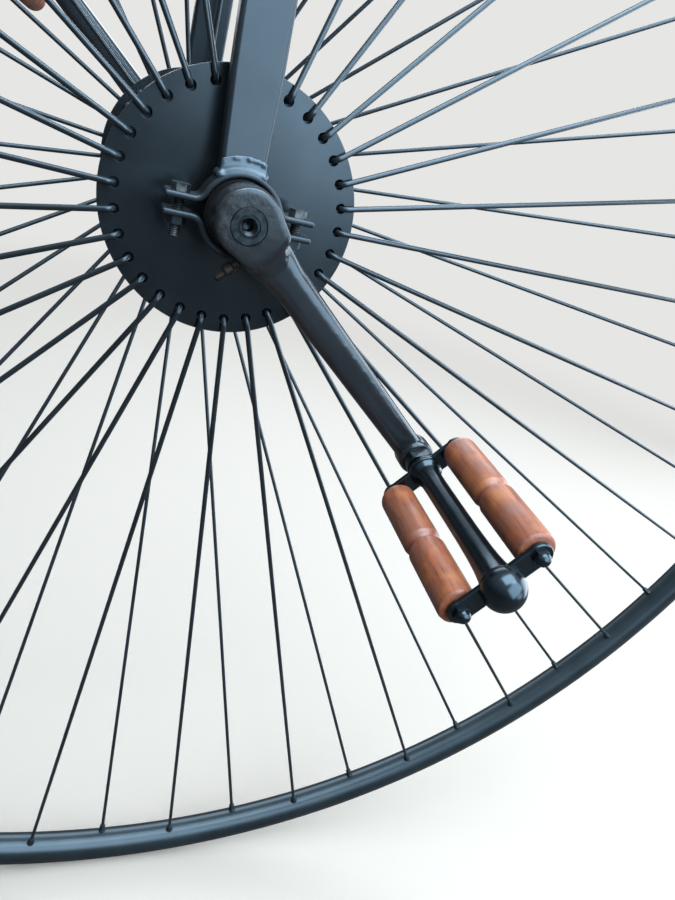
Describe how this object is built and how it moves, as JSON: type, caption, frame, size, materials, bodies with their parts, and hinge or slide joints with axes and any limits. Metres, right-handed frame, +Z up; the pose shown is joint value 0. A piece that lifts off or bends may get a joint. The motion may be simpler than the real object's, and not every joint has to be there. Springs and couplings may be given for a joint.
{
  "type": "penny farthing driving wheel and fork",
  "caption": "Tall wire-spoked wheel with solid tyre, disc hub, cranks and wooden-grip pedals, turning in a straight fork that ends in a steerer tube.",
  "frame": {"origin": "on the steering axis, at the top of the crown race seat where the steerer begins", "axes": "+Z up along the steering axis, +Y along the wheel's axle to the machine's right, +X back towards the rider"},
  "size_m": [1.2698, 0.5454, 1.488],
  "materials": {
    "fork_paint": "satin black paint brushed on welded steel",
    "rim_paint": "satin black paint on rolled tube",
    "disc_paint": "matt black paint on steel plate",
    "spoke_paint": "satin black painted wire",
    "crank_paint": "black paint worn to brown on forged steel",
    "pedal_enamel": "gloss black enamel",
    "axle_steel": "bare steel, dull",
    "bearing_steel": "sealed ball bearing",
    "zinc_steel": "zinc plated bolts, partly painted",
    "tyre_rubber": "solid black rubber",
    "grip_wood": "turned wood, stained red-brown and oiled"
  },
  "bodies": {
    "fork": {"fork_crown": "fork_paint", "fork_leg_left": "fork_paint", "fork_leg_right": "fork_paint", "hub_bearings": "bearing_steel", "lower_straps": "fork_paint", "steerer": "fork_paint", "strap_bolts": "zinc_steel", "upper_straps": "fork_paint"},
    "wheel": {"axle": "axle_steel", "crank_left": "crank_paint", "crank_right": "crank_paint", "hub_barrel": "disc_paint", "hub_disc_left": "disc_paint", "hub_disc_right": "disc_paint", "pedal_spindle_left": "pedal_enamel", "pedal_spindle_right": "pedal_enamel", "rim": "rim_paint", "spokes_left": "spoke_paint", "spokes_right": "spoke_paint", "tyre": "tyre_rubber"},
    "pedal_left": {"pedal_barrel_left": "pedal_enamel", "pedal_dome_left": "pedal_enamel", "pedal_grips_left": "grip_wood", "pedal_plate_inner_left": "pedal_enamel", "pedal_plate_outer_left": "pedal_enamel", "pedal_rods_left": "pedal_enamel"},
    "pedal_right": {"pedal_barrel_right": "pedal_enamel", "pedal_dome_right": "pedal_enamel", "pedal_grips_right": "grip_wood", "pedal_plate_inner_right": "pedal_enamel", "pedal_plate_outer_right": "pedal_enamel", "pedal_rods_right": "pedal_enamel"}
  },
  "joints": [
    {"name": "wheel_spin", "type": "hinge", "parent": "fork", "child": "wheel", "pos_m": [0.0025, 0, -0.703], "axis": [0, 1, 0], "continuous": true},
    {"name": "pedal_left_spin", "type": "hinge", "parent": "wheel", "child": "pedal_left", "pos_m": [0.11691, -0.1528, -0.80458], "axis": [-0.0474, -0.9983, -0.0324], "continuous": true},
    {"name": "pedal_right_spin", "type": "hinge", "parent": "wheel", "child": "pedal_right", "pos_m": [-0.11191, 0.1528, -0.60142], "axis": [0, 1, 0], "continuous": true}
  ]
}
